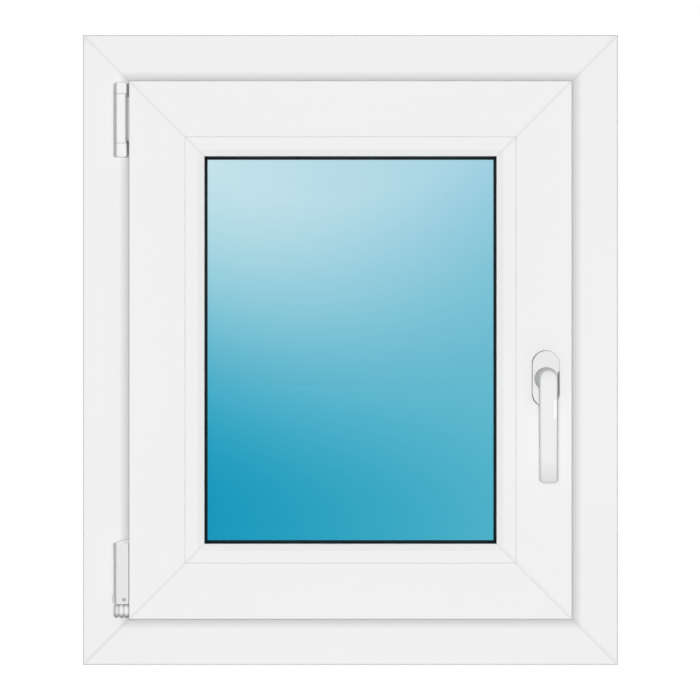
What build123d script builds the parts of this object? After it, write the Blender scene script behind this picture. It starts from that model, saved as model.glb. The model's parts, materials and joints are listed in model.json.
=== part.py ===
import os

from build123d import *

# A white PVC tilt-and-turn window: a mitred outer frame, a sash that laps over it, clip-in
# glazing beads, a sealed double-glazed unit, rubber seals, a lever handle and two hinges.
# Millimetres. X runs to the right as seen from the room, Z is up, and the room is on the -Y
# side. The origin is the middle of the frame's underside.

# Overall size
frame_width = 535.0
frame_height = 630.0
frame_depth = 70.0

# How the sash sits in the frame
frame_leg = 55.0  # room-side face of the frame, from its outer edge
sash_overlap = 8.0  # how far the sash laps over that face
rebate_air = 12.0  # free space between frame and sash inside the rebate
seal_gap = 4.0  # height of a closed weather seal
stop_depth = 48.0  # room-side face to the outer stop
sash_depth = 72.0
overlap_thickness = 10.0

# Frame extrusion
wall = 2.8
web = 1.6
frame_lip = 75.0  # outdoor face of the frame, from its outer edge
edge_bevel_width = 5.0  # slope on the outdoor edges that face the glass
edge_bevel_depth = 13.0
gutter_depth = 8.0
gutter_width = 15.0
clip_mouth = 6.0  # dovetail grooves round the outside, for wall anchors
clip_flare = 1.5
clip_depth = 4.5
clip_spacing = 40.0
first_chamber = 8.0
frame_edge_radius = 1.6
leg_edge_radius = 2.0

# Sash extrusion
sash_face = 55.8  # room-side face of the sash, up to the glazing bead
glazing_leg = 19.0  # thickness of the outdoor lip that holds the glass
glazing_lip_setback = 2.2  # how much lower that lip is than the bead
outdoor_gap = 5.0  # gap between the frame's lip and the sash, seen from outdoors
euro_groove_offset = 6.0  # from the underside of the overlap to the hardware groove
euro_groove_width = 16.0
euro_groove_seat = 3.0
euro_rod_width = 12.0
euro_rod_depth = 9.0
sash_edge_radius = 1.5
bead_line_radius = 1.2  # rounded edges that meet in the line between sash and bead

# Glazing bead
bead_height = 19.2
bead_flat = 12.6
bead_drop = 3.4  # depth of the sloping edge
bead_edge_radius = 0.6
bead_nose = 1.0  # white edge between the slope and the black seal on the inner wall
bead_foot_height = 3.6
bead_foot_width = 4.0
bead_foot_offset = 8.0  # room-side face to the clip foot
bead_wall = 1.8
clip_clearance = 0.15

# Weld seams, cleaned to a shallow groove on each mitre
weld_width = 3.0
weld_depth = 0.2

# Sealed glass unit
pane_thickness = 4.0
cavity = 16.0
glass_edge_gap = 5.0  # glass edge to the bottom of the glazing rebate
spacer_inset = 5.0
spacer_height = 6.5
pane_arris = 0.4

# Glazing gaskets and weather seals
inner_gasket = 3.0
outer_gasket = 4.0
inner_gasket_lip = 2.0  # black line that shows beside the bead
wall_seal = 1.2  # thickness of the same seal on the bead's inner wall
outer_gasket_lip = 2.2
gasket_lip_edge = 0.9
gasket_seat = 6.0
seal_width = 5.0
seal_nose = 2.6
seal_setback = 2.0

# Handle
handle_height = 286.5
handle_aside = 26.8  # middle of the handle to the edge of the sash
rosette_width = 27.0
rosette_length = 56.0
rosette_height = 10.0
rosette_edge = 0.6
neck_diameter = 23.0
neck_gap = 0.4
journal_diameter = 13.0
journal_clearance = 0.08
lever_length = 101.0
lever_reach = 41.5  # sash face to the middle of the grip
lever_root_width = 17.6
lever_tip_width = 17.0
grip_thickness = 11.5
tip_thickness = 9.5
bend_radius = 16.0  # front of the bend
bend_inner_radius = 10.0
neck_headroom = 3.2  # the bend is drawn this much above the round neck, which trims it
neck_flare = 11.0
collar_edge = 1.6
collar_tuck = 0.6  # the collar's slope ends this far inside the neck
grip_edge = 1.3
tip_corner = 3.0
spindle_side = 7.0
spindle_reach = 14.0  # beyond the room-side wall of the sash
spindle_hole = 12.0

# Hinges, on the left
hinge_axis_aside = 8.6  # hinge axis beside the edge of the sash
hinge_axis_stand = 8.0  # hinge axis in front of the frame's face
hinge_depth = 12.0
hinge_base_width = 15.4
hinge_left_lean = 4.4  # the sides lean in toward the front
hinge_right_lean = 2.4
hinge_end_lean = 1.2  # right side of the end pieces
hinge_gap = 1.2  # base of the hinge to the edge of the sash
hinge_front_radius = 1.8
hinge_pin = 5.0
hinge_pin_clearance = 0.1
knuckle_gap = 0.3
leaf_thickness = 2.8
leaf_end_gap = 3.0
bearing_plate = 1.6
bearing_plate_width = 9.0
stay_top_gap = 1.6  # top of the sash to the top of the upper hinge
stay_knuckle_length = 49.0
stay_end_length = 11.5
stay_foot_length = 13.7
hinge_end_edge = 1.0
corner_bottom_gap = 1.1  # bottom of the sash to the bottom of the lower hinge
tilt_disc_diameter = 14.0
tilt_disc_width = 4.85
tilt_disc_gap = 0.2
tilt_disc_edge = 1.6
tilt_pin = 4.0
turn_pin = 4.0  # upright pin of the lower hinge
cover_length = 62.7
cover_width = 16.2
cover_lean = 3.6
cover_front_radius = 3.0  # front left edge
cover_edge_radius = 1.0  # front right edge
cover_depth = 10.6
cover_wall = 1.4
cover_top_width = 8.2  # sloping corner at the top left
cover_top_drop = 3.4
cover_notch_width = 4.5  # small step at the top right
cover_notch_drop = 2.3
cover_notch_depth = 3.0
cover_gap = 0.3  # to the discs below
cover_side_gap = 0.2  # to the edge of the sash
cover_fit = 0.2
adjuster_hole = 3.4
adjuster_from_end = 4.3
adjuster_from_edge = 4.6
cover_nib = 1.2
cover_nib_length = 8.0
cover_nib_depth = 8.0

# Drain openings on the outdoor face of the bottom rail
drain_spacing = 300.0
drain_height = 22.0
drain_slot_length = 26.0
drain_slot_width = 5.0
drain_cap_length = 40.0
drain_cap_width = 15.0
drain_cap_height = 4.5
drain_cap_edge = 1.6
drain_cap_wall = 1.4
drain_mouth_length = 22.0  # opening in the underside of a cap
drain_mouth_height = 5.0
drain_clearance = 0.2

# Places worked out from the sizes
mid_height = frame_height / 2
frame_visible = frame_leg - sash_overlap
y_frame_in = -frame_depth / 2
y_frame_out = frame_depth / 2
y_stop = y_frame_in + stop_depth
y_overlap = y_frame_in - seal_gap
y_sash_in = y_overlap - overlap_thickness
y_sash_seal = y_stop - seal_gap
y_sash_out = y_sash_in + sash_depth
y_glazing_leg = y_sash_out - glazing_leg
y_glass_out = y_glazing_leg - outer_gasket
y_glass_in = y_glass_out - 2 * pane_thickness - cavity
y_bead_back = y_glass_in - inner_gasket
y_bead_nose = y_sash_in + bead_drop + bead_nose
overlap_width = sash_overlap + rebate_air
bead_inset = frame_visible + sash_face
glass_inset = bead_inset + glass_edge_gap
lap_to_lip = frame_lip + outdoor_gap - frame_visible
outer_lip_height = bead_height - glazing_lip_setback
glazing_lip = sash_face + outer_lip_height
x_sash_left = -(frame_width / 2 - frame_visible)
x_sash_right = -x_sash_left
z_sash_bottom = frame_visible
z_sash_top = frame_height - frame_visible

sides = ("bottom", "right", "top", "left")
inward_of = {
    "bottom": Vector(0, 0, 1),
    "right": Vector(-1, 0, 0),
    "top": Vector(0, 0, -1),
    "left": Vector(1, 0, 0),
}


# Sections. Local x is the distance inward from the ring's outer edge, local y is the depth.
def cut_chamber(x_low, x_high, y_low, y_high):
    with Locations((x_low, y_low)):
        Rectangle(x_high - x_low, y_high - y_low, align=Align.MIN, mode=Mode.SUBTRACT)


def corners_at(sketch, *points):
    return [sketch.vertices().sort_by_distance((x, y, 0))[0] for x, y in points]


with BuildSketch() as frame_section:
    gutter_floor = frame_leg - gutter_depth
    with BuildLine():
        Polyline(
            (0, y_frame_in),
            (frame_leg, y_frame_in),
            (frame_leg, y_stop - gutter_width),
            (gutter_floor, y_stop - gutter_width + gutter_depth),
            (gutter_floor, y_stop),
            (frame_lip, y_stop),
            (frame_lip, y_frame_out - edge_bevel_depth),
            (frame_lip - edge_bevel_width, y_frame_out),
            (0, y_frame_out),
            close=True,
        )
    make_face()
    fillet(corners_at(frame_section, (0, y_frame_in), (0, y_frame_out)), frame_edge_radius)
    fillet(corners_at(frame_section, (frame_leg, y_frame_in)), leg_edge_radius)
    fillet(corners_at(frame_section, (frame_lip - edge_bevel_width, y_frame_out)), leg_edge_radius)
    with Locations((0, -clip_spacing / 2), (0, clip_spacing / 2)):
        Polygon(
            (0, -clip_mouth / 2),
            (clip_depth, -clip_mouth / 2 - clip_flare),
            (clip_depth, clip_mouth / 2 + clip_flare),
            (0, clip_mouth / 2),
            align=None,
            mode=Mode.SUBTRACT,
        )
    chamber_start = clip_depth + wall
    y_first_end = y_frame_in + wall + first_chamber
    cut_chamber(chamber_start, frame_leg - wall, y_frame_in + wall, y_first_end)
    cut_chamber(chamber_start, gutter_floor - wall, y_first_end + web, y_stop)
    outdoor_chamber_end = frame_lip - edge_bevel_width - wall
    cut_chamber(chamber_start, outdoor_chamber_end, y_stop + wall, y_frame_out - wall)

with BuildSketch() as sash_section:
    with BuildLine():
        Polyline(
            (0, y_sash_in),
            (sash_face, y_sash_in),
            (sash_face, y_glazing_leg),
            (glazing_lip, y_glazing_leg),
            (glazing_lip, y_sash_out - edge_bevel_depth),
            (glazing_lip - edge_bevel_width, y_sash_out),
            (lap_to_lip + edge_bevel_width, y_sash_out),
            (lap_to_lip, y_sash_out - edge_bevel_depth),
            (lap_to_lip, y_sash_seal),
            (overlap_width, y_sash_seal),
            (overlap_width, y_overlap),
            (0, y_overlap),
            close=True,
        )
    make_face()
    fillet(corners_at(sash_section, (0, y_sash_in)), sash_edge_radius)
    fillet(corners_at(sash_section, (sash_face, y_sash_in)), bead_line_radius)
    outdoor_edges = (
        (glazing_lip - edge_bevel_width, y_sash_out),
        (lap_to_lip + edge_bevel_width, y_sash_out),
    )
    fillet(corners_at(sash_section, *outdoor_edges), leg_edge_radius)
    # Hardware groove in the edge of the sash
    y_groove = y_overlap + euro_groove_offset
    groove_floor = overlap_width + euro_groove_seat + euro_rod_depth
    rod_side = (euro_groove_width - euro_rod_width) / 2
    cut_chamber(overlap_width, overlap_width + euro_groove_seat, y_groove, y_groove + euro_groove_width)
    cut_chamber(overlap_width, groove_floor, y_groove + rod_side, y_groove + rod_side + euro_rod_width)
    # Groove that takes the foot of the bead
    y_foot = y_sash_in + bead_foot_offset
    foot_floor = sash_face - bead_foot_height - clip_clearance
    cut_chamber(foot_floor, sash_face, y_foot - clip_clearance, y_foot + bead_foot_width + clip_clearance)
    # Hollow chambers
    cut_chamber(wall, overlap_width - wall, y_sash_in + wall, y_overlap - wall)
    cut_chamber(groove_floor + wall, foot_floor - wall, y_sash_in + wall, y_glazing_leg)
    y_side_start = y_groove + euro_groove_width + wall
    cut_chamber(overlap_width + wall, groove_floor + wall - web, y_side_start, y_sash_seal - wall)
    outdoor_start = lap_to_lip + edge_bevel_width + wall
    outdoor_end = glazing_lip - edge_bevel_width - wall
    cut_chamber(outdoor_start, outdoor_end, y_glazing_leg + wall, y_sash_out - wall)

with BuildSketch() as bead_section:
    with BuildLine():
        Polyline(
            (0, y_sash_in),
            (bead_flat, y_sash_in),
            (bead_height, y_sash_in + bead_drop),
            (bead_height, y_bead_nose),
            (bead_height - wall_seal, y_bead_nose),
            (bead_height - wall_seal, y_bead_back),
            (0, y_bead_back),
            close=True,
        )
    make_face()
    fillet(corners_at(bead_section, (0, y_sash_in)), bead_line_radius)
    bead_edges = ((bead_flat, y_sash_in), (bead_height, y_sash_in + bead_drop))
    fillet(corners_at(bead_section, *bead_edges), bead_edge_radius)
    with Locations((-bead_foot_height, y_sash_in + bead_foot_offset)):
        Rectangle(bead_foot_height, bead_foot_width, align=Align.MIN)
    cut_chamber(bead_wall, bead_flat - bead_wall, y_sash_in + bead_wall, y_bead_back - bead_wall)

with BuildSketch() as inner_gasket_section:
    Polygon(
        (bead_height - gasket_seat, y_bead_back),
        (bead_height - wall_seal, y_bead_back),
        (bead_height - wall_seal, y_bead_nose),
        (bead_height, y_bead_nose),
        (bead_height, y_bead_back),
        (bead_height + inner_gasket_lip, y_glass_in - gasket_lip_edge),
        (bead_height + inner_gasket_lip, y_glass_in),
        (bead_height - gasket_seat, y_glass_in),
        align=None,
    )

with BuildSketch() as outer_gasket_section:
    Polygon(
        (outer_lip_height - gasket_seat, y_glazing_leg),
        (outer_lip_height, y_glazing_leg),
        (outer_lip_height + outer_gasket_lip, y_glass_out + gasket_lip_edge),
        (outer_lip_height + outer_gasket_lip, y_glass_out),
        (outer_lip_height - gasket_seat, y_glass_out),
        align=None,
    )


def weather_seal_section(x_start, y_foot_face, y_nose_face):
    nose_inset = (seal_width - seal_nose) / 2
    with BuildSketch() as section:
        Polygon(
            (x_start, y_foot_face),
            (x_start + seal_width, y_foot_face),
            (x_start + seal_width - nose_inset, y_nose_face),
            (x_start + nose_inset, y_nose_face),
            align=None,
        )
    return section


overlap_seal_section = weather_seal_section(seal_setback, y_overlap, y_frame_in)
rebate_seal_start = frame_lip - seal_setback - seal_width
rebate_seal_section = weather_seal_section(rebate_seal_start, y_stop, y_sash_seal)

with BuildSketch() as spacer_section:
    with Locations((spacer_inset, y_glass_in + pane_thickness)):
        Rectangle(spacer_height, cavity, align=Align.MIN)
    with Locations((spacer_inset + wall / 2, y_glass_in + pane_thickness + wall / 2)):
        Rectangle(spacer_height - wall, cavity - wall, align=Align.MIN, mode=Mode.SUBTRACT)


# Mitred bars and closed rings
def side_of_ring(side, inset):
    inward = inward_of[side]
    upright = side in ("left", "right")
    reach = (frame_width if upright else frame_height) / 2 - inset
    length = (frame_height if upright else frame_width) - 2 * inset
    middle = Vector(0, 0, mid_height) - inward * reach
    return Plane(middle, x_dir=inward, z_dir=inward.cross(Vector(0, 1, 0))), length


def mitred_bar(section, side, inset, weld_faces=()):
    # weld_faces lists (depth of a visible face, its outward sign, where it starts and ends)
    plane, length = side_of_ring(side, inset)
    with BuildPart() as bar:
        with BuildSketch(plane):
            add(section.sketch)
        extrude(amount=length / 2, both=True)
        for end in (1, -1):
            corner = plane.origin + plane.z_dir * (end * length / 2)
            mitre = plane.x_dir + plane.z_dir * end
            split(bisect_by=Plane(corner, z_dir=mitre), keep=Keep.BOTTOM)
            along = plane.x_dir - plane.z_dir * end
            for y_face, outward, start, stop in weld_faces:
                seam_start = corner + along * start + Vector(0, y_face, 0)
                with BuildSketch(Plane(seam_start, x_dir=mitre, z_dir=along)) as groove:
                    depth_sign = -outward if groove.workplanes[0].y_dir.Y > 0 else outward
                    Polygon(
                        (-weld_width / 2, 0),
                        (weld_width / 2, 0),
                        (0, depth_sign * weld_depth),
                        align=None,
                    )
                extrude(amount=along.length * (stop - start), mode=Mode.SUBTRACT)
    return bar


def closed_ring(section, inset):
    bars = [mitred_bar(section, side, inset) for side in sides]
    with BuildPart() as ring:
        for bar in bars:
            add(bar.part)
    return ring


os.makedirs("parts", exist_ok=True)


def write(builder, name):
    builder.part.label = name
    export_step(builder.part, f"parts/{name}.step")


# Outer frame
frame_names = {
    "bottom": "frame_sill",
    "right": "frame_right_jamb",
    "top": "frame_head",
    "left": "frame_left_jamb",
}
frame_welds = (
    (y_frame_in, -1, frame_edge_radius, frame_leg - leg_edge_radius),
    (y_frame_out, 1, frame_edge_radius, frame_lip - edge_bevel_width - leg_edge_radius),
)
frame_bars = {side: mitred_bar(frame_section, side, 0, frame_welds) for side in sides}

# Slots in the outdoor wall let rain water out of the bottom rail
drain_places = [(x, drain_height) for x in (drain_spacing / 2, -drain_spacing / 2)]
outdoor_plane = Plane((0, y_frame_out, 0), x_dir=(-1, 0, 0), z_dir=(0, 1, 0))
with BuildPart() as frame_sill:
    add(frame_bars["bottom"].part)
    with BuildSketch(outdoor_plane):
        with Locations(*drain_places):
            SlotOverall(drain_slot_length, drain_slot_width)
    extrude(amount=-wall, mode=Mode.SUBTRACT)
frame_bars["bottom"] = frame_sill
for side in sides:
    write(frame_bars[side], frame_names[side])

for place, word in zip(drain_places, ("left", "right")):
    with BuildPart() as drain_cap:
        with BuildSketch(outdoor_plane):
            with Locations(place):
                SlotOverall(drain_cap_length, drain_cap_width)
        extrude(amount=drain_cap_height)
        outer_rim = drain_cap.faces().sort_by(Axis.Y)[-1].edges()
        chamfer(outer_rim, drain_cap_edge)
        with BuildSketch(outdoor_plane):
            with Locations(place):
                SlotOverall(drain_slot_length - 2 * drain_clearance, drain_slot_width - 2 * drain_clearance)
        extrude(amount=-wall)
        with BuildSketch(outdoor_plane):
            with Locations((place[0], place[1] - drain_cap_width / 2)):
                Rectangle(drain_mouth_length, drain_mouth_height, align=(Align.CENTER, Align.MIN))
        extrude(amount=drain_cap_height - drain_cap_wall, mode=Mode.SUBTRACT)
    write(drain_cap, f"drain_cap_{word}")

# Sash
sash_names = {
    "bottom": "sash_bottom_rail",
    "right": "sash_right_stile",
    "top": "sash_top_rail",
    "left": "sash_left_stile",
}
sash_welds = (
    (y_sash_in, -1, sash_edge_radius, sash_face - bead_line_radius),
    (y_sash_out, 1, *sorted(u + s * leg_edge_radius for (u, _), s in zip(outdoor_edges, (-1, 1)))),
)
sash_bars = {side: mitred_bar(sash_section, side, frame_visible, sash_welds) for side in sides}

# The spindle of the handle passes through the wall of the handle stile into the groove
x_handle = x_sash_right - handle_aside
handle_plane = Plane((x_handle, y_sash_in, handle_height), x_dir=(1, 0, 0), z_dir=(0, -1, 0))
with BuildPart() as handle_stile:
    add(sash_bars["right"].part)
    with BuildSketch(handle_plane):
        Circle(spindle_hole / 2)
    extrude(amount=-(y_groove + euro_groove_width - y_sash_in), mode=Mode.SUBTRACT)
sash_bars["right"] = handle_stile
for side in sides:
    write(sash_bars[side], sash_names[side])

# Glazing beads
bead_welds = ((y_sash_in, -1, bead_line_radius, bead_flat - bead_edge_radius),)
for side in sides:
    write(mitred_bar(bead_section, side, bead_inset, bead_welds), f"bead_{side}")

# Sealed glass unit
glass_width = frame_width - 2 * glass_inset
glass_height = frame_height - 2 * glass_inset
for name, y_face in (("inner_pane", y_glass_in), ("outer_pane", y_glass_out - pane_thickness)):
    with BuildPart() as pane:
        with Locations((0, y_face + pane_thickness / 2, mid_height)):
            Box(glass_width, pane_thickness, glass_height)
        chamfer(pane.edges(), pane_arris)
    write(pane, name)
write(closed_ring(spacer_section, glass_inset), "spacer_bar")

# Gaskets and weather seals
write(closed_ring(inner_gasket_section, bead_inset), "inner_glazing_gasket")
write(closed_ring(outer_gasket_section, bead_inset), "outer_glazing_gasket")
write(closed_ring(overlap_seal_section, frame_visible), "overlap_seal")
write(closed_ring(rebate_seal_section, 0), "rebate_seal")

# Handle: a rosette on the stile, and a lever with a round neck that bends into a flat grip
with BuildPart() as rosette:
    with BuildSketch(handle_plane):
        SlotOverall(rosette_length, rosette_width, rotation=90)
    extrude(amount=rosette_height)
    chamfer(rosette.faces().sort_by(Axis.Y)[0].edges(), rosette_edge)
    with BuildSketch(handle_plane):
        Circle(journal_diameter / 2 + journal_clearance)
    extrude(amount=rosette_height, mode=Mode.SUBTRACT)
write(rosette, "handle_rosette")

# The lever is what its side view and its front view have in common
neck_base = rosette_height + neck_gap
neck_radius = lever_root_width / 2
neck_top = neck_radius + neck_headroom
bend_corner = (lever_reach + grip_thickness / 2, neck_top)
inner_corner = (lever_reach - grip_thickness / 2, -neck_radius)
tip_front = (lever_reach + tip_thickness / 2, -lever_length)
tip_back = (lever_reach - tip_thickness / 2, -lever_length)
tip_corners = ((-lever_tip_width / 2, -lever_length), (lever_tip_width / 2, -lever_length))
lever_side = Plane(handle_plane.origin, x_dir=(0, -1, 0), z_dir=(-1, 0, 0))
with BuildPart() as lever:
    with BuildSketch(lever_side) as side_view:
        with BuildLine():
            Polyline(
                (neck_base, neck_top),
                bend_corner,
                tip_front,
                tip_back,
                inner_corner,
                (neck_base, -neck_radius),
                close=True,
            )
        make_face()
        fillet(corners_at(side_view, bend_corner), bend_radius)
        fillet(corners_at(side_view, inner_corner), bend_inner_radius)
    extrude(amount=lever_root_width, both=True)
    with BuildSketch(handle_plane) as front_view:
        Circle(neck_radius)
        Polygon((neck_radius, 0), (-neck_radius, 0), *tip_corners, align=None)
        fillet(corners_at(front_view, *tip_corners), tip_corner)
    extrude(amount=lever_reach + grip_thickness, mode=Mode.INTERSECT)
    # The four long edges lead the bevel round the tip, the bend and the top of the neck
    chamfer(lever.edges().sort_by(SortBy.LENGTH)[-4:], grip_edge)
    # Collar that turns on the rosette
    with BuildSketch(Plane(handle_plane.origin, x_dir=(1, 0, 0), z_dir=(0, 0, 1))):
        with BuildLine():
            Polyline(
                (0, -neck_base),
                (neck_diameter / 2, -neck_base),
                (neck_diameter / 2, -neck_base - collar_edge),
                (neck_radius - collar_tuck, -neck_base - neck_flare),
                (0, -neck_base - neck_flare),
                close=True,
            )
        make_face()
    revolve(axis=Axis((x_handle, 0, handle_height), (0, 1, 0)))
    with BuildSketch(handle_plane.offset(neck_base)):
        Circle(journal_diameter / 2)
    extrude(amount=-neck_base)
write(lever, "handle_lever")

with BuildPart() as spindle:
    with BuildSketch(handle_plane):
        Rectangle(spindle_side, spindle_side)
    extrude(amount=-(overlap_thickness + spindle_reach))
write(spindle, "handle_spindle")

# Upper hinge: the frame's bearing has an end piece above and below the knuckle of the sash's stay
x_hinge = x_sash_left - hinge_axis_aside
y_hinge = y_frame_in - hinge_axis_stand
y_hinge_front = y_hinge - hinge_depth / 2
y_hinge_back = y_hinge + hinge_depth / 2
x_hinge_right = x_sash_left - hinge_gap
x_hinge_left = x_hinge_right - hinge_base_width
z_stay_top = z_sash_top - stay_top_gap
z_knuckle_top = z_stay_top - stay_end_length
z_knuckle_bottom = z_knuckle_top - stay_knuckle_length
z_stay_bottom = z_knuckle_bottom - stay_foot_length
hinge_hole = hinge_pin / 2 + hinge_pin_clearance


def hinge_outline(right_lean):
    with BuildSketch() as outline:
        with BuildLine():
            Polyline(
                (x_hinge_left, y_hinge_back),
                (x_hinge_left + hinge_left_lean, y_hinge_front),
                (x_hinge_right - right_lean, y_hinge_front),
                (x_hinge_right, y_hinge_back),
                close=True,
            )
        make_face()
        fillet(outline.vertices().group_by(Axis.Y)[0], hinge_front_radius)
    return outline.sketch


with BuildPart() as stay_bearing:
    for z_low, z_high in (
        (z_stay_bottom, z_knuckle_bottom - knuckle_gap),
        (z_knuckle_top + knuckle_gap, z_stay_top),
    ):
        with BuildSketch(Plane.XY.offset(z_low)):
            add(hinge_outline(hinge_end_lean))
        extrude(amount=z_high - z_low)
    end_faces = stay_bearing.faces().sort_by(Axis.Z)
    chamfer([*end_faces[0].edges(), *end_faces[-1].edges()], hinge_end_edge)
    for z_low, z_high in (
        (z_stay_bottom + hinge_end_edge, z_knuckle_bottom - knuckle_gap),
        (z_knuckle_top + knuckle_gap, z_stay_top - hinge_end_edge),
    ):
        with BuildSketch(Plane.XY.offset(z_low)):
            with Locations((x_hinge, y_hinge)):
                Rectangle(bearing_plate_width, hinge_axis_stand, align=(Align.CENTER, Align.MIN))
        extrude(amount=z_high - z_low)
    with BuildSketch(Plane.XY.offset(z_stay_bottom + hinge_end_edge)):
        with Locations((x_hinge, y_frame_in)):
            Rectangle(bearing_plate_width, bearing_plate, align=(Align.CENTER, Align.MAX))
    extrude(amount=z_stay_top - z_stay_bottom - 2 * hinge_end_edge)
    with BuildSketch(Plane.XY.offset(z_stay_bottom)):
        with Locations((x_hinge, y_hinge)):
            Circle(hinge_hole)
    extrude(amount=z_stay_top - z_stay_bottom, mode=Mode.SUBTRACT)
write(stay_bearing, "stay_bearing")

y_leaf = y_overlap - leaf_thickness
with BuildPart() as stay_knuckle:
    with BuildSketch(Plane.XY.offset(z_knuckle_bottom)):
        add(hinge_outline(hinge_right_lean))
    extrude(amount=stay_knuckle_length)
    with BuildSketch(Plane.XY.offset(z_knuckle_bottom + leaf_end_gap)):
        with Locations((x_hinge, y_leaf)):
            Rectangle(x_sash_left - x_hinge, leaf_thickness, align=Align.MIN)
    extrude(amount=stay_knuckle_length - 2 * leaf_end_gap)
    with BuildSketch(Plane.XY.offset(z_knuckle_bottom)):
        with Locations((x_hinge, y_hinge)):
            Circle(hinge_hole)
    extrude(amount=stay_knuckle_length, mode=Mode.SUBTRACT)
write(stay_knuckle, "stay_knuckle")

with BuildPart() as stay_pin:
    with BuildSketch(Plane.XY.offset(z_stay_bottom)):
        with Locations((x_hinge, y_hinge)):
            Circle(hinge_pin / 2)
    extrude(amount=z_stay_top - z_stay_bottom)
write(stay_pin, "stay_pin")

# Lower hinge: three discs on a level pin for the tilt, and an upright pin for the turn
z_disc = z_sash_bottom + corner_bottom_gap + tilt_disc_diameter / 2
disc_pitch = tilt_disc_width + tilt_disc_gap
x_disc_right = x_sash_left - tilt_disc_gap - tilt_disc_width / 2
x_discs = [x_disc_right - 2 * disc_pitch, x_disc_right - disc_pitch, x_disc_right]
x_turn = x_discs[1]
z_cover_bottom = z_disc + tilt_disc_diameter / 2 + cover_gap


def add_tilt_disc(x_middle):
    disc_plane = Plane((x_middle - tilt_disc_width / 2, y_hinge, z_disc), x_dir=(0, 1, 0), z_dir=(1, 0, 0))
    with BuildPart() as disc:
        with BuildSketch(disc_plane):
            Circle(tilt_disc_diameter / 2)
        extrude(amount=tilt_disc_width)
        chamfer(disc.edges().filter_by(GeomType.CIRCLE), tilt_disc_edge)
        with BuildSketch(disc_plane):
            Circle(tilt_pin / 2 + hinge_pin_clearance)
        extrude(amount=tilt_disc_width, mode=Mode.SUBTRACT)
    return disc.part


with BuildPart() as corner_bearing:
    foot_height = tilt_disc_diameter - 2 * tilt_disc_edge
    foot_width = tilt_disc_width - 2 * tilt_disc_edge
    for x_middle in (x_discs[0], x_discs[2]):
        add(add_tilt_disc(x_middle))
        y_foot_top = y_hinge + tilt_pin / 2 + hinge_pin_clearance + web / 2
        with BuildSketch(Plane.XY.offset(z_disc - foot_height / 2)):
            with Locations((x_middle, y_foot_top)):
                Rectangle(foot_width, y_frame_in - y_foot_top, align=(Align.CENTER, Align.MIN))
        extrude(amount=foot_height)
    with BuildSketch(Plane.XY.offset(z_disc - foot_height / 2)):
        with Locations((x_turn, y_frame_in)):
            Rectangle(2 * disc_pitch + foot_width, bearing_plate / 2, align=(Align.CENTER, Align.MAX))
    extrude(amount=foot_height)
write(corner_bearing, "corner_bearing")

z_pin_top = z_cover_bottom + cover_length / 3
with BuildPart() as corner_pivot:
    add(add_tilt_disc(x_turn))
    z_pin_foot = z_disc + tilt_pin / 2 + hinge_pin_clearance + web / 2
    with BuildSketch(Plane.XY.offset(z_pin_foot)):
        with Locations((x_turn, y_hinge)):
            Circle(turn_pin / 2)
    extrude(amount=z_pin_top - z_pin_foot)
write(corner_pivot, "corner_pivot")

with BuildPart() as tilt_axle:
    tilt_plane = Plane((x_discs[0] - tilt_disc_width / 2, y_hinge, z_disc), x_dir=(0, 1, 0), z_dir=(1, 0, 0))
    with BuildSketch(tilt_plane):
        Circle(tilt_pin / 2)
    extrude(amount=2 * disc_pitch + tilt_disc_width)
write(tilt_axle, "tilt_pin")

# The sash's arm turns on the upright pin, under a moulded cover
x_cover_right = x_sash_left - cover_side_gap
x_cover_left = x_cover_right - cover_width
x_cover_front = x_cover_left + cover_lean
y_cover_front = y_hinge_front
z_cover_top = z_cover_bottom + cover_length
cavity_left = x_cover_front + cover_wall / 2
arm_left = cavity_left + cover_fit
arm_right = x_cover_right - cover_wall - cover_fit
arm_front = y_cover_front + cover_wall
arm_back = y_cover_front + cover_depth
arm_top = z_cover_top - cover_top_drop - cover_wall
with BuildPart() as corner_hinge:
    with BuildSketch(Plane.XY.offset(z_cover_bottom)):
        with Locations((arm_left, arm_front)):
            Rectangle(arm_right - arm_left, arm_back - arm_front, align=Align.MIN)
    extrude(amount=arm_top - z_cover_bottom)
    with BuildSketch(Plane.XY.offset(z_cover_bottom + leaf_end_gap)):
        with Locations((arm_right, y_leaf)):
            Rectangle(x_sash_left - arm_right, leaf_thickness, align=Align.MIN)
    extrude(amount=arm_top - z_cover_bottom - 2 * leaf_end_gap)
    with BuildSketch(Plane.XY.offset(z_cover_bottom)):
        with Locations((x_turn, y_hinge)):
            Circle(turn_pin / 2 + hinge_pin_clearance)
    extrude(amount=z_pin_top + knuckle_gap - z_cover_bottom, mode=Mode.SUBTRACT)
write(corner_hinge, "corner_hinge")

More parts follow.
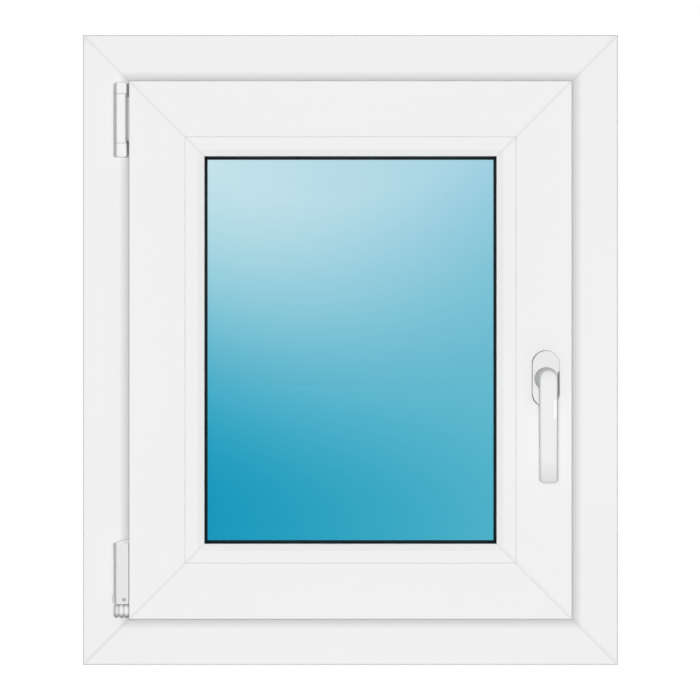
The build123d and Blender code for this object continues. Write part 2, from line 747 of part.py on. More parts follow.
with BuildPart() as corner_cover:
    with BuildSketch(Plane.XY.offset(z_cover_bottom)) as cover_outline:
        with BuildLine():
            Polyline(
                (x_cover_left, y_cover_front + cover_depth),
                (x_cover_front, y_cover_front),
                (x_cover_right, y_cover_front),
                (x_cover_right, y_cover_front + cover_depth),
                close=True,
            )
        make_face()
        front_edges = cover_outline.vertices().group_by(Axis.Y)[0].sort_by(Axis.X)
        fillet(front_edges[0], cover_front_radius)
        front_edges = cover_outline.vertices().group_by(Axis.Y)[0].sort_by(Axis.X)
        fillet(front_edges[-1], cover_edge_radius)
    extrude(amount=cover_length)
    # Sloping top left corner and small step at the top right
    front_plane = Plane((0, y_cover_front, 0), x_dir=(1, 0, 0), z_dir=(0, -1, 0))
    with BuildSketch(front_plane):
        Polygon(
            (x_cover_left, z_cover_top),
            (x_cover_left, z_cover_top - cover_top_drop),
            (x_cover_left + cover_top_width, z_cover_top),
            align=None,
        )
    extrude(amount=-cover_depth, mode=Mode.SUBTRACT)
    with BuildSketch(front_plane):
        with Locations((x_cover_right, z_cover_top)):
            Rectangle(cover_notch_width, cover_notch_drop, align=Align.MAX)
    extrude(amount=-cover_notch_depth, mode=Mode.SUBTRACT)
    with BuildSketch(Plane.XY.offset(z_cover_bottom)):
        with Locations((cavity_left, arm_front)):
            Rectangle(x_cover_right - cavity_left - cover_wall, cover_depth, align=Align.MIN)
        with Locations((arm_right, y_leaf - cover_fit)):
            Rectangle(cover_width, cover_depth, align=Align.MIN)
    extrude(amount=arm_top - z_cover_bottom, mode=Mode.SUBTRACT)
    nib_plane = Plane.XY.offset(z_cover_bottom)
    with BuildSketch(nib_plane):
        Polygon(
            (x_cover_left - cover_nib, y_cover_front + cover_depth),
            (x_cover_front, y_cover_front + cover_depth - cover_nib_depth),
            (x_cover_front, y_cover_front + cover_depth),
            align=None,
        )
    extrude(amount=cover_nib_length)
    adjuster_plane = Plane(
        (x_cover_right - adjuster_from_edge, y_cover_front, z_cover_bottom + adjuster_from_end),
        x_dir=(1, 0, 0),
        z_dir=(0, -1, 0),
    )
    with BuildSketch(adjuster_plane):
        Circle(adjuster_hole / 2)
    extrude(amount=-cover_wall, mode=Mode.SUBTRACT)
write(corner_cover, "corner_hinge_cover")
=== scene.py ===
import json
import math

import bmesh
import bpy
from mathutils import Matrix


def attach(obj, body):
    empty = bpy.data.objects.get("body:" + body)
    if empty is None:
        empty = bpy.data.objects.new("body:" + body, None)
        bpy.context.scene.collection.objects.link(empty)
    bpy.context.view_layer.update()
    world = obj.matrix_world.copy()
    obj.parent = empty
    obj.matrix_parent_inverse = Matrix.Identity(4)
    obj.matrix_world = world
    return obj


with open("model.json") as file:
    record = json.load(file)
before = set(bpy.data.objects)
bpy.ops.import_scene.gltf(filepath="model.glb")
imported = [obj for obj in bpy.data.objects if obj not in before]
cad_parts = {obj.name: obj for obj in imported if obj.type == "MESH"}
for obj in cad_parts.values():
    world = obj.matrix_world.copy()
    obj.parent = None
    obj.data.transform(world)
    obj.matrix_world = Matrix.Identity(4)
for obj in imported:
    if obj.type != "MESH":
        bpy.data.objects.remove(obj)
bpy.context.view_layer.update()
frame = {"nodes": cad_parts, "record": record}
nodes = frame["nodes"]
print("window loaded:", len(nodes), "nodes")

window = {  # metres, the same sizes as the solids
    "width": 0.535,
    "height": 0.630,
    "roomFace": -0.035,  # room side of the outer frame
    "glassWidth": 0.2870,  # what shows between the gasket lips
    "glassHeight": 0.3820,
}
midHeight = window["height"] / 2
quarterTurn = (math.radians(90), 0.0, 0.0)  # a flat ring stands up, a lamp or camera looks outdoors


def srgb(code):  # "f1f1f1" to linear RGBA, by the sRGB curve
    parts = [int(code[i:i + 2], 16) / 255 for i in (0, 2, 4)]
    return tuple(c / 12.92 if c <= 0.04045 else ((c + 0.055) / 1.055) ** 2.4 for c in parts) + (1.0,)


def addNode(tree, kind, inputs=None, **settings):  # a socket is linked, anything else is set
    node = tree.nodes.new(kind)
    for key, value in settings.items():
        setattr(node, key, value)
    for key, value in (inputs or {}).items():
        if isinstance(value, bpy.types.NodeSocket):
            tree.links.new(value, node.inputs[key])
        else:
            node.inputs[key].default_value = value
    return node


def emptyMaterial(name):
    material = bpy.data.materials.new(name)
    material.use_nodes = True
    material.node_tree.nodes.clear()
    return material, material.node_tree


def addPaintedShading(tree, xyz, tone, paintedShading):  # an entry is a painted shade or light and its limits, each along an axis from unpainted to fully painted
    for shade, *limits in paintedShading:
        amount = 1.0
        for axis, unpainted, fullyPainted in limits:
            far = addNode(tree, "ShaderNodeMapRange", {
                "Value": xyz.outputs[axis], "From Min": unpainted, "From Max": fullyPainted})
            product = addNode(tree, "ShaderNodeMath", {0: far.outputs[0], 1: amount}, operation="MULTIPLY")
            amount = product.outputs[0]
        tone = addNode(tree, "ShaderNodeMix", {
            "Factor": amount, "A": tone.outputs["Result"], "B": srgb(shade)}, data_type="RGBA")
    return tone


# Extruded rigid PVC: satin white, faint die lines along each bar, a slightly greyer scraped weld on the mitres,
# painted shade beside the step of the sash, a painted dark outline on the outer arris and painted light toward the
# outer edges
pvc = {
    "body": "f1f1f1",
    "shade": "efefef",
    "roughness": (0.38, 0.46),
    "ior": 1.53,
    "shine": 0.2,
    "bump": 0.05,
    "bumpDepth": 0.0002,
    "dieLine": 0.0035,  # real die lines are about 0.5 mm apart, drawn coarser so that they show
    "dieDetail": 3.0,
    "dieRoughness": 0.6,
    "dieContrast": (0.3, 0.7),  # noise levels that give the shade and the body
    "seam": "e9e9e9",
    "seamWidth": 0.0034,
    "seamFade": (0.4, 1.2),  # shares of half the width where the fade starts and ends
    "seamRoughness": 0.15,  # more than the bar
    "paintedShade": "c8c8c8",  # painted shade on the frame beside the step of the sash
    "shadeFrom": 0.0362,  # from the outer edge of the frame
    "shadeTo": 0.0475,
    "edge": "c4c4c4",  # painted dark outline on the arris round the room face
    "edgeWidth": 0.0008,
    "faceDepth": 0.001,  # how far behind the room face the painted shade and the painted dark arris reach
    "paintedLight": (  # painted light: a touch whiter toward the outer edges, against the lamp's fall-off
        ("f3f3f3", ("X", 0.12, 0.27)),
        ("f3f3f3", ("X", -0.12, -0.27)),
        ("f3f3f3", ("Z", 0.45, 0.63)),
        ("f3f3f3", ("Z", 0.18, 0.00)),
    ),
}


def makePvc():
    material, tree = emptyMaterial("extrudedPvc")
    place = addNode(tree, "ShaderNodeTexCoord").outputs["Object"]
    xyz = addNode(tree, "ShaderNodeSeparateXYZ", {0: place})
    # how far in from the outer edge, so that the die lines follow each bar
    side = addNode(tree, "ShaderNodeMath", {0: xyz.outputs["X"]}, operation="ABSOLUTE")
    height = addNode(tree, "ShaderNodeMath", {0: xyz.outputs["Z"], 1: midHeight}, operation="SUBTRACT")
    rise = addNode(tree, "ShaderNodeMath", {0: height.outputs[0]}, operation="ABSOLUTE")
    fromSide = addNode(tree, "ShaderNodeMath", {0: window["width"] / 2, 1: side.outputs[0]}, operation="SUBTRACT")
    fromEnd = addNode(tree, "ShaderNodeMath", {0: midHeight, 1: rise.outputs[0]}, operation="SUBTRACT")
    inward = addNode(tree, "ShaderNodeMath", {0: fromSide.outputs[0], 1: fromEnd.outputs[0]}, operation="MINIMUM")
    across = addNode(tree, "ShaderNodeCombineXYZ", {"X": inward.outputs[0], "Y": xyz.outputs["Y"]})
    lines = addNode(tree, "ShaderNodeTexNoise", {
        "Vector": across.outputs[0], "Scale": 1 / pvc["dieLine"],
        "Detail": pvc["dieDetail"], "Roughness": pvc["dieRoughness"]})
    level = addNode(tree, "ShaderNodeMapRange", {
        "Value": lines.outputs["Fac"], "From Min": pvc["dieContrast"][0], "From Max": pvc["dieContrast"][1]})
    tone = addNode(tree, "ShaderNodeMix", {
        "Factor": level.outputs[0], "A": srgb(pvc["shade"]), "B": srgb(pvc["body"])}, data_type="RGBA")
    tone = addPaintedShading(tree, xyz, tone, pvc["paintedLight"])
    # weld lines lie where the side and the end are equally far
    gap = addNode(tree, "ShaderNodeMath", {0: fromSide.outputs[0], 1: fromEnd.outputs[0]}, operation="SUBTRACT")
    offSeam = addNode(tree, "ShaderNodeMath", {0: gap.outputs[0]}, operation="ABSOLUTE")
    halfSeam = pvc["seamWidth"] / 2 * math.sqrt(2)
    seam = addNode(tree, "ShaderNodeMapRange", {
        "Value": offSeam.outputs[0], "From Min": halfSeam * pvc["seamFade"][0],
        "From Max": halfSeam * pvc["seamFade"][1], "To Min": 1.0, "To Max": 0.0}, interpolation_type="SMOOTHSTEP")
    welded = addNode(tree, "ShaderNodeMix", {
        "Factor": seam.outputs[0], "A": tone.outputs["Result"], "B": srgb(pvc["seam"])}, data_type="RGBA")
    # painted shade beside the sash and the painted dark arris, on the room face of the frame alone
    onFace = addNode(tree, "ShaderNodeMath", {
        0: xyz.outputs["Y"], 1: window["roomFace"] + pvc["faceDepth"]}, operation="LESS_THAN")
    near = addNode(tree, "ShaderNodeMapRange", {
        "Value": inward.outputs[0], "From Min": pvc["shadeFrom"], "From Max": pvc["shadeTo"]})
    onFrame = addNode(tree, "ShaderNodeMath", {0: inward.outputs[0], 1: pvc["shadeTo"]}, operation="LESS_THAN")
    there = addNode(tree, "ShaderNodeMath", {0: onFrame.outputs[0], 1: onFace.outputs[0]}, operation="MULTIPLY")
    shadeAmount = addNode(tree, "ShaderNodeMath", {0: near.outputs[0], 1: there.outputs[0]}, operation="MULTIPLY")
    shaded = addNode(tree, "ShaderNodeMix", {
        "Factor": shadeAmount.outputs[0], "A": welded.outputs["Result"], "B": srgb(pvc["paintedShade"])}, data_type="RGBA")
    outermost = addNode(tree, "ShaderNodeMath", {0: inward.outputs[0], 1: pvc["edgeWidth"]}, operation="LESS_THAN")
    onEdge = addNode(tree, "ShaderNodeMath", {0: outermost.outputs[0], 1: onFace.outputs[0]}, operation="MULTIPLY")
    edged = addNode(tree, "ShaderNodeMix", {
        "Factor": onEdge.outputs[0], "A": shaded.outputs["Result"], "B": srgb(pvc["edge"])}, data_type="RGBA")
    gloss = addNode(tree, "ShaderNodeMapRange", {
        "Value": lines.outputs["Fac"], "To Min": pvc["roughness"][0], "To Max": pvc["roughness"][1]})
    matt = addNode(tree, "ShaderNodeMath", {
        0: seam.outputs[0], 1: pvc["seamRoughness"], 2: gloss.outputs[0]}, operation="MULTIPLY_ADD")
    bump = addNode(tree, "ShaderNodeBump", {
        "Strength": pvc["bump"], "Distance": pvc["bumpDepth"], "Height": lines.outputs["Fac"]})
    shader = addNode(tree, "ShaderNodeBsdfPrincipled", {
        "Base Color": edged.outputs["Result"], "Roughness": matt.outputs[0], "IOR": pvc["ior"],
        "Specular IOR Level": pvc["shine"], "Normal": bump.outputs[0]})
    addNode(tree, "ShaderNodeOutputMaterial", {"Surface": shader.outputs[0]})
    return material


# Float glass with a blue solar tint and a painted sky reflection, pale at the top and deepest at the lower left
glass = {
    "top": ("c4e3ea", "a4d2e3"),  # left, right, seen through both panes
    "bottom": ("0895b9", "48aec6"),
    "ior": 1.2,  # below real glass, for the weak mirror image in the picture
    "shine": 0.03,
    "roughness": 0.0,
    "fadeFrom": 1.04,  # heights where the fade starts and ends, as shares of the pane
    "fadeTo": 0.06,
    "rightFade": 1.35,  # bends the fade of the right side
    "paleMiddle": 0.90,  # lifts the fade between the sides
    "paleReach": 1.5,  # twice the share of the fade where that lift is strongest
}


def onePane(code):  # the two panes share the tint
    return tuple(math.sqrt(c) for c in srgb(code))


def makeGlass():
    material, tree = emptyMaterial("tintedGlassPaintedSky")
    place = addNode(tree, "ShaderNodeTexCoord").outputs["Object"]
    xyz = addNode(tree, "ShaderNodeSeparateXYZ", {0: place})
    foot = (window["height"] - window["glassHeight"]) / 2
    fade = {"Value": xyz.outputs["Z"], "From Min": foot + window["glassHeight"] * glass["fadeTo"],
            "From Max": foot + window["glassHeight"] * glass["fadeFrom"]}
    even = addNode(tree, "ShaderNodeMapRange", fade)
    soft = addNode(tree, "ShaderNodeMapRange", fade, interpolation_type="SMOOTHSTEP")
    right = addNode(tree, "ShaderNodeMapRange", {
        "Value": xyz.outputs["X"], "From Min": -window["glassWidth"] / 2, "From Max": window["glassWidth"] / 2})
    bent = addNode(tree, "ShaderNodeMath", {0: even.outputs[0], 1: glass["rightFade"]}, operation="POWER")
    up = addNode(tree, "ShaderNodeMix", {"Factor": right.outputs[0], "A": soft.outputs[0], "B": bent.outputs[0]})
    left = addNode(tree, "ShaderNodeMath", {0: 1.0, 1: right.outputs[0]}, operation="SUBTRACT")
    middle = addNode(tree, "ShaderNodeMath", {0: left.outputs[0], 1: right.outputs[0]}, operation="MULTIPLY")
    rest = addNode(tree, "ShaderNodeMath", {0: glass["paleReach"], 1: up.outputs["Result"]}, operation="SUBTRACT")
    swell = addNode(tree, "ShaderNodeMath", {0: rest.outputs[0], 1: up.outputs["Result"]}, operation="MULTIPLY")
    paler = addNode(tree, "ShaderNodeMath", {0: middle.outputs[0], 1: swell.outputs[0]}, operation="MULTIPLY")
    lifted = addNode(tree, "ShaderNodeMath", {
        0: paler.outputs[0], 1: glass["paleMiddle"], 2: up.outputs["Result"]}, operation="MULTIPLY_ADD")
    low, high = [addNode(tree, "ShaderNodeMix", {
        "Factor": right.outputs[0], "A": onePane(glass[end][0]), "B": onePane(glass[end][1])}, data_type="RGBA")
        for end in ("bottom", "top")]
    # painted sky reflection: the corner colours and their fade are painted into the tint
    tintAndSky = addNode(tree, "ShaderNodeMix", {
        "Factor": lifted.outputs[0], "A": low.outputs["Result"], "B": high.outputs["Result"]}, data_type="RGBA")
    shader = addNode(tree, "ShaderNodeBsdfPrincipled", {
        "Base Color": tintAndSky.outputs["Result"], "Roughness": glass["roughness"], "IOR": glass["ior"],
        "Transmission Weight": 1.0, "Specular IOR Level": glass["shine"]})
    addNode(tree, "ShaderNodeOutputMaterial", {"Surface": shader.outputs[0]})
    return material


# Small solid finishes share one build: a speckled colour, painted shade in the corners, painted shade and light by
# place, uneven gloss and a fine bump
speckle = {
    "detail": 2.0,
    "roughness": 0.55,
    "contrast": (0.35, 0.65),  # noise levels that give the two tones
    "bumpDepth": 0.2,  # share of the grain
    "shadeSamples": 8,
}
finishes = {
    "powderCoatHandle": {  # satin white powder coat on die-cast zinc: fine orange peel, with painted shade on its sides, hollows and tip and a painted highlight on the grip
        "tones": ("ebebeb", "eeeeee"), "grain": 0.0011, "roughness": (0.50, 0.60), "bump": 0.10,
        "metal": 0.0, "shine": 0.2, "paintedShade": "505050", "shadeReach": 0.006, "alone": True,
        "paintedShading": (
            ("c0c0c0", ("Y", -0.0740, -0.0620)),  # painted shade on the neck and collar
            ("e8e8e8", ("Y", -0.0594, -0.0591)),  # face of the rosette
            ("989898", ("Y", -0.0588, -0.0580)),  # painted shade on its sides
            ("505050", ("X", 0.200, 0.190), ("Y", -0.0590, -0.0587), ("Z", 0.272, 0.266)),  # painted shade on its left ends
            ("707070", ("X", 0.200, 0.190), ("Y", -0.0590, -0.0587), ("Z", 0.301, 0.307)),
            ("dadada", ("Z", 0.208, 0.184)),  # painted shade toward the tip of the lever
            ("b4b4b4", ("X", 0.2011, 0.2019), ("X", 0.2031, 0.2026),
             ("Y", -0.068, -0.070)),  # painted shade on the right edge of the grip
            ("fafafa", ("X", 0.1978, 0.1994), ("X", 0.2015, 0.2010), ("Y", -0.068, -0.070),
             ("Z", 0.268, 0.264), ("Z", 0.246, 0.250)),  # painted highlight on the grip
            ("888888", ("X", 0.2048, 0.2056), ("Z", 0.2945, 0.2925), ("Z", 0.2655, 0.2690)),  # painted shadow beside the neck
        )},
    "powderCoatHinge": {  # the same coat, glossier on the knuckles
        "tones": ("f2f2f2", "f6f6f6"), "grain": 0.0009, "roughness": (0.45, 0.55), "bump": 0.08,
        "metal": 0.0, "shine": 0.2, "paintedShade": "d8d8d8", "shadeReach": 0.003, "alone": False,
        "paintedShading": (
            ("c6c6c6", ("X", -0.2318, -0.2338)),  # painted shade on the left slope
            ("e6e6e6", ("X", -0.2351, -0.2358)),  # painted light on the outermost strip
            ("959595", ("X", -0.2205, -0.2228), ("X", -0.2300, -0.2290), ("Y", -0.0425, -0.0419),
             ("Z", 0.516, 0.519), ("Z", 0.569, 0.566)),  # painted shade at the root of the knuckle
            ("848484", ("Z", 0.0535, 0.0485)),  # painted shade at the foot of the lower hinge
        )},
    "mouldedAbs": {  # moulded ABS cover: slightly greyer than the profile, spark-eroded texture
        "tones": ("e6e6e6", "eaeaea"), "grain": 0.0006, "roughness": (0.50, 0.60), "bump": 0.12,
        "metal": 0.0, "shine": 0.2, "paintedShade": "c8c8c8", "shadeReach": 0.003, "alone": False,
        "paintedShading": (
            ("bcbcbc", ("X", -0.2325, -0.2345)),  # painted shade on the left slope
            ("f4f4f4", ("X", -0.2351, -0.2358)),  # painted light on the outermost strip
            ("ffffff", ("Z", 0.1246, 0.1250)),  # painted light on the top edge
        )},
    "mouldedCap": {  # moulded white cap outdoors
        "tones": ("ececec", "f0f0f0"), "grain": 0.0006, "roughness": (0.46, 0.56), "bump": 0.10,
        "metal": 0.0, "shine": 0.3},
    "epdmRubber": {  # extruded EPDM: matt black with a dusty bloom
        "tones": ("0b1418", "14191c"), "grain": 0.0008, "roughness": (0.60, 0.75), "bump": 0.15,
        "metal": 0.0, "shine": 0.3},
    "zincSteel": {  # zinc-plated steel: soft crystalline spangle
        "tones": ("b4b6b8", "c4c5c6"), "grain": 0.0018, "roughness": (0.26, 0.42), "bump": 0.05,
        "metal": 1.0, "shine": 0.5},
    "millAluminium": {  # roll-formed aluminium: drawn, dull
        "tones": ("c9cbcd", "d6d7d8"), "grain": 0.0025, "roughness": (0.34, 0.46), "bump": 0.04,
        "metal": 1.0, "shine": 0.5},
}


def makeFinish(name):
    finish = finishes[name]
    material, tree = emptyMaterial(name)
    place = addNode(tree, "ShaderNodeTexCoord").outputs["Object"]
    speck = addNode(tree, "ShaderNodeTexNoise", {
        "Vector": place, "Scale": 1 / finish["grain"],
        "Detail": speckle["detail"], "Roughness": speckle["roughness"]})
    level = addNode(tree, "ShaderNodeMapRange", {
        "Value": speck.outputs["Fac"], "From Min": speckle["contrast"][0], "From Max": speckle["contrast"][1]})
    tone = addNode(tree, "ShaderNodeMix", {
        "Factor": level.outputs[0], "A": srgb(finish["tones"][0]), "B": srgb(finish["tones"][1])}, data_type="RGBA")
    if "paintedShade" in finish:  # painted shade in corners, of the piece alone or also where pieces meet
        corner = addNode(tree, "ShaderNodeAmbientOcclusion", {"Distance": finish["shadeReach"]},
                         samples=speckle["shadeSamples"], only_local=finish["alone"])
        tone = addNode(tree, "ShaderNodeMix", {
            "Factor": corner.outputs["AO"], "A": srgb(finish["paintedShade"]), "B": tone.outputs["Result"]}, data_type="RGBA")
    xyz = addNode(tree, "ShaderNodeSeparateXYZ", {0: place})
    tone = addPaintedShading(tree, xyz, tone, finish.get("paintedShading", ()))
    gloss = addNode(tree, "ShaderNodeMapRange", {
        "Value": speck.outputs["Fac"], "To Min": finish["roughness"][0], "To Max": finish["roughness"][1]})
    bump = addNode(tree, "ShaderNodeBump", {
        "Strength": finish["bump"], "Distance": finish["grain"] * speckle["bumpDepth"],
        "Height": speck.outputs["Fac"]})
    shader = addNode(tree, "ShaderNodeBsdfPrincipled", {
        "Base Color": tone.outputs["Result"], "Roughness": gloss.outputs[0], "Metallic": finish["metal"],
        "Specular IOR Level": finish["shine"], "Normal": bump.outputs[0]})
    addNode(tree, "ShaderNodeOutputMaterial", {"Surface": shader.outputs[0]})
    return material


slotMaterials = {
    "pvc_white": makePvc(),
    "window_glass": makeGlass(),
    "spacer_aluminium": makeFinish("millAluminium"),
    "seal_rubber": makeFinish("epdmRubber"),
    "handle_coating": makeFinish("powderCoatHandle"),
    "hinge_coating": makeFinish("powderCoatHinge"),
    "cover_plastic": makeFinish("mouldedAbs"),
    "fitting_steel": makeFinish("zincSteel"),
    "cap_plastic": makeFinish("mouldedCap"),
}
for entry in frame["record"]["subparts"]:
    mesh = nodes[entry["node"]].data
    mesh.materials.clear()
    mesh.materials.append(slotMaterials[entry["material_slot"]])
print("materials:", len(slotMaterials))


# Pieces made by Geometry Nodes become plain meshes before they ride on a body
def newTree(name, sizes):
    tree = bpy.data.node_groups.new(name, "GeometryNodeTree")
    for label, value in sizes.items():
        kind = "NodeSocketVector" if isinstance(value, tuple) else "NodeSocketFloat"
        tree.interface.new_socket(label, in_out="INPUT", socket_type=kind)
    tree.interface.new_socket("Geometry", in_out="OUTPUT", socket_type="NodeSocketGeometry")
    return tree


def endTree(tree, shape, place, material):  # stands the flat ring up at its place
    upright = addNode(tree, "GeometryNodeTransform", {
        "Geometry": shape, "Translation": place, "Rotation": quarterTurn})
    real = addNode(tree, "GeometryNodeRealizeInstances", {"Geometry": upright.outputs[0]})
    painted = addNode(tree, "GeometryNodeSetMaterial", {"Geometry": real.outputs[0], "Material": material})
    addNode(tree, "NodeGroupOutput", {"Geometry": painted.outputs[0]})


def growPiece(name, tree, sizes):
    piece = bpy.data.objects.new(name, bpy.data.meshes.new(name))
    bpy.context.scene.collection.objects.link(piece)
    modifier = piece.modifiers.new("grow", "NODES")
    modifier.node_group = tree
    for socket in tree.interface.items_tree:
        if socket.in_out == "INPUT":
            modifier[socket.identifier] = sizes[socket.name]
    grown = bpy.data.meshes.new_from_object(piece.evaluated_get(bpy.context.evaluated_depsgraph_get()))
    piece.modifiers.remove(modifier)
    piece.data = grown
    grown.name = name
    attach(piece, "window")


# Fine holes along the spacer bar let the drying beads inside it take up moisture
perforation = {
    "Width": 0.2964,
    "Height": 0.3914,
    "Pitch": 0.0040,
    "Radius": 0.00045,
    "Depth": 0.0003,
    "Place": (0.0, -0.012, midHeight),
}
holeSides = 10
cornerBend = 0.01  # a point of the ring with more than this lies on a corner and gets no hole


def perforationTree():
    tree = newTree("spacerPerforation", perforation)
    given = addNode(tree, "NodeGroupInput").outputs
    path = addNode(tree, "GeometryNodeCurvePrimitiveQuadrilateral", {
        "Width": given["Width"], "Height": given["Height"]})
    evenly = addNode(tree, "GeometryNodeResampleCurve", {
        "Curve": path.outputs[0], "Length": given["Pitch"]}, mode="LENGTH")
    hole = addNode(tree, "GeometryNodeMeshCylinder", {
        "Vertices": holeSides, "Radius": given["Radius"], "Depth": given["Depth"]})
    along = addNode(tree, "GeometryNodeInputTangent").outputs[0]
    aside = addNode(tree, "ShaderNodeVectorMath", {0: along, 1: (0.0, 0.0, 1.0)}, operation="CROSS_PRODUCT")
    facing = addNode(tree, "FunctionNodeAlignRotationToVector", {"Vector": aside.outputs[0]}, axis="Z")
    parts = addNode(tree, "ShaderNodeSeparateXYZ", {0: along})
    bend = addNode(tree, "ShaderNodeMath", {0: parts.outputs["X"], 1: parts.outputs["Y"]}, operation="MULTIPLY")
    size = addNode(tree, "ShaderNodeMath", {0: bend.outputs[0]}, operation="ABSOLUTE")
    straight = addNode(tree, "ShaderNodeMath", {0: size.outputs[0], 1: cornerBend}, operation="LESS_THAN")
    row = addNode(tree, "GeometryNodeInstanceOnPoints", {
        "Points": evenly.outputs[0], "Selection": straight.outputs[0],
        "Instance": hole.outputs["Mesh"], "Rotation": facing.outputs[0]})
    # each hole is a small disc in the black rubber finish, painted shade for its dark inside
    endTree(tree, row.outputs[0], given["Place"], slotMaterials["seal_rubber"])
    return tree


growPiece("spacerPerforation", perforationTree(), perforation)
print("spacer perforated")

# Rounded lips of the two glazing gaskets, pressed on the glass all round
innerLip = {"Width": 0.2881, "Height": 0.3831, "Radius": 0.00055, "Place": (0.0, -0.02455, midHeight)}
outerLip = {"Width": 0.2921, "Height": 0.3871, "Radius": 0.00055, "Place": (0.0, 0.00055, midHeight)}
lipSides = 12


def lipTree():
    tree = newTree("gasketLip", innerLip)
    given = addNode(tree, "NodeGroupInput").outputs
    path = addNode(tree, "GeometryNodeCurvePrimitiveQuadrilateral", {
        "Width": given["Width"], "Height": given["Height"]})
    bead = addNode(tree, "GeometryNodeCurvePrimitiveCircle", {"Resolution": lipSides, "Radius": given["Radius"]})
    lip = addNode(tree, "GeometryNodeCurveToMesh", {"Curve": path.outputs[0], "Profile Curve": bead.outputs[0]})
    endTree(tree, lip.outputs[0], given["Place"], slotMaterials["seal_rubber"])
    return tree


lips = lipTree()
growPiece("innerGasketLip", lips, innerLip)
growPiece("outerGasketLip", lips, outerLip)
print("gasket lips rounded")

# Height screw of the lower hinge, seen through the hole in its cover
heightScrew = {
    "place": (-0.2253, -0.0476, 0.0667),
    "radius": 0.00155,
    "height": 0.0005,
    "shoulder": 0.6,  # share of the height where the bevel starts
    "crown": 0.85,  # share of the radius where it ends
    "socket": 0.00085,  # half the size of the hexagon socket
    "socketDepth": 0.00042,
    "steps": 24,
}


def makeHeightScrew():
    form = bmesh.new()
    x, y, z = heightScrew["place"]
    radius, height, socket = heightScrew["radius"], heightScrew["height"], heightScrew["socket"]
    outline = [(radius, 0.0), (radius, height * heightScrew["shoulder"]), (radius * heightScrew["crown"], height),
               (socket, height), (socket, height - heightScrew["socketDepth"])]
    steps = heightScrew["steps"]
    halfFlat = math.pi / 6  # half the turn that one flat of the hexagon takes
    rings = []
    for reach, lift in outline:
        ring = []
        for step in range(steps):
            turn = 2 * math.pi * step / steps
            near = reach
            if reach == socket:  # pulled in to the flats of a hexagon
                near = reach * math.cos(halfFlat) / math.cos(turn % (2 * halfFlat) - halfFlat)
            ring.append(form.verts.new((x + near * math.cos(turn), y - lift, z + near * math.sin(turn))))
        rings.append(ring)
    for ring, following in zip(rings, rings[1:]):
        for step in range(steps):
            after = (step + 1) % steps
            form.faces.new((ring[step], ring[after], following[after], following[step]))
    form.faces.new(rings[0])
    form.faces.new(rings[-1])
    bmesh.ops.recalc_face_normals(form, faces=form.faces)
    mesh = bpy.data.meshes.new("heightScrew")
    form.to_mesh(mesh)
    form.free()
    mesh.materials.append(slotMaterials["fitting_steel"])
    screw = bpy.data.objects.new("heightScrew", mesh)
    bpy.context.scene.collection.objects.link(screw)
    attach(screw, "window")


makeHeightScrew()
print("height screw in place")

# Studio: white all round to the eye, one soft lamp in line with the view and even daylight from outdoors
studio = {
    "lampPower": 178.5,  # watts
    "lampRadius": 0.15,
    "lampSpread": 26.0,  # degrees, the window with little of the floor
    "lampBlend": 0.1,  # soft share of the cone
    "daylight": 0.95,  # from the outdoor half
    "fill": 0.28,  # from the room half
    "changeover": (-0.05, 0.15),  # how far outdoors a direction points where the fill turns into daylight
    "floorSize": 40.0,
    "floorWhite": 0.90,
    "floorGlow": 0.88,  # share of the floor that shows as plain white; the rest takes the shadow
    "glowStrength": 1.086,
}

camera = {
    "fromFace": 2.514,  # to the frame's room face, where one pixel is one millimetre
    "pixels": 700,
    "perPixel": 0.001,
    "aside": -0.0005,
    "sensor": 36.0,  # millimetres
    "farthest": 50.0,
}
viewPoint = (camera["aside"], window["roomFace"] - camera["fromFace"], midHeight)


def shownDirectly(tree):  # 1 to the camera, through the panes and in mirror images, 0 where it gives light
    path = addNode(tree, "ShaderNodeLightPath").outputs
    seen = addNode(tree, "ShaderNodeMath", {
        0: path["Is Camera Ray"], 1: path["Is Transmission Ray"]}, operation="MAXIMUM")
    mirrored = addNode(tree, "ShaderNodeMath", {0: seen.outputs[0], 1: path["Is Glossy Ray"]}, operation="MAXIMUM")
    return mirrored.outputs[0]


def makeWorld():
    world = bpy.data.worlds.new("softStudio")
    world.use_nodes = True
    tree = world.node_tree
    tree.nodes.clear()
    way = addNode(tree, "ShaderNodeTexCoord").outputs["Generated"]
    xyz = addNode(tree, "ShaderNodeSeparateXYZ", {0: way})
    dome = addNode(tree, "ShaderNodeMapRange", {
        "Value": xyz.outputs["Y"], "From Min": studio["changeover"][0], "From Max": studio["changeover"][1],
        "To Min": studio["fill"], "To Max": studio["daylight"]}, interpolation_type="SMOOTHSTEP")
    strength = addNode(tree, "ShaderNodeMix", {"Factor": shownDirectly(tree), "A": dome.outputs[0], "B": 1.0})
    light = addNode(tree, "ShaderNodeBackground", {"Color": srgb("ffffff"), "Strength": strength.outputs["Result"]})
    addNode(tree, "ShaderNodeOutputWorld", {"Surface": light.outputs[0]})
    bpy.context.scene.world = world


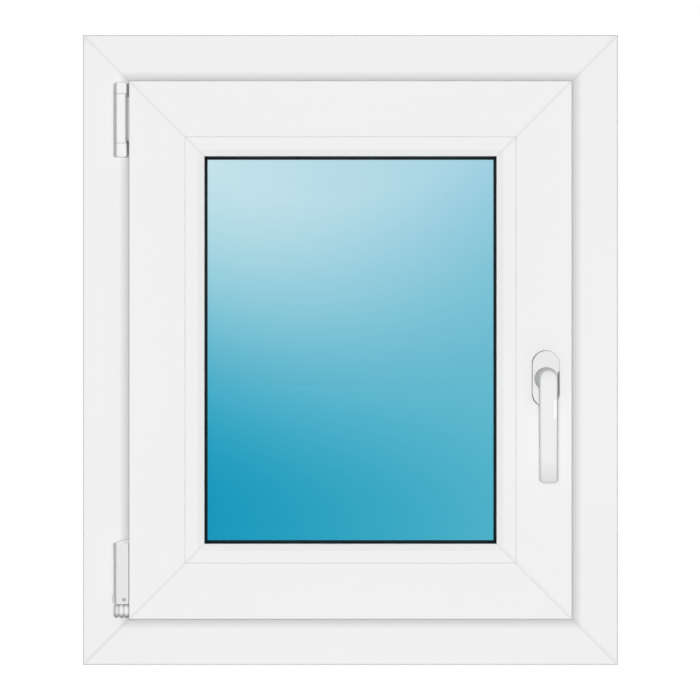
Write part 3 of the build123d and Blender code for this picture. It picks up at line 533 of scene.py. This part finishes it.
def makeLamp():
    data = bpy.data.lights.new("viewLamp", "SPOT")
    data.shadow_soft_size = studio["lampRadius"]
    data.spot_size = math.radians(studio["lampSpread"])
    data.spot_blend = studio["lampBlend"]
    data.energy = studio["lampPower"]
    lamp = bpy.data.objects.new("viewLamp", data)
    lamp.location = viewPoint
    lamp.rotation_euler = quarterTurn
    lamp.visible_camera = False  # only its light shows, and no mirror image in the panes
    lamp.visible_glossy = False
    lamp.visible_transmission = False
    bpy.context.scene.collection.objects.link(lamp)


def makeFloor():
    half = studio["floorSize"] / 2
    mesh = bpy.data.meshes.new("studioFloor")
    mesh.from_pydata([(-half, -half, 0), (half, -half, 0), (half, half, 0), (-half, half, 0)], [], [(0, 1, 2, 3)])
    floor = bpy.data.objects.new("studioFloor", mesh)
    bpy.context.scene.collection.objects.link(floor)
    material, tree = emptyMaterial("paleFloor")
    share = addNode(tree, "ShaderNodeMath", {0: shownDirectly(tree), 1: studio["floorGlow"]}, operation="MULTIPLY")
    white = studio["floorWhite"]
    matt = addNode(tree, "ShaderNodeBsdfDiffuse", {"Color": (white, white, white, 1.0)})
    glow = addNode(tree, "ShaderNodeEmission", {"Color": srgb("ffffff"), "Strength": studio["glowStrength"]})
    mixed = addNode(tree, "ShaderNodeMixShader", {0: share.outputs[0], 1: matt.outputs[0], 2: glow.outputs[0]})
    addNode(tree, "ShaderNodeOutputMaterial", {"Surface": mixed.outputs[0]})
    mesh.materials.append(material)
    floor.visible_shadow = False  # the light comes up through it, as from a light table
    floor.visible_diffuse = False


def makeCamera():
    data = bpy.data.cameras.new("roomView")
    data.sensor_width = camera["sensor"]
    data.lens = camera["sensor"] * camera["fromFace"] / (camera["pixels"] * camera["perPixel"])
    data.clip_end = camera["farthest"]
    view = bpy.data.objects.new("roomView", data)
    view.location = viewPoint
    view.rotation_euler = quarterTurn
    bpy.context.scene.collection.objects.link(view)
    bpy.context.scene.camera = view


makeWorld()
makeLamp()
makeFloor()
makeCamera()
bpy.context.scene.view_settings.view_transform = "Standard"
print("studio ready")
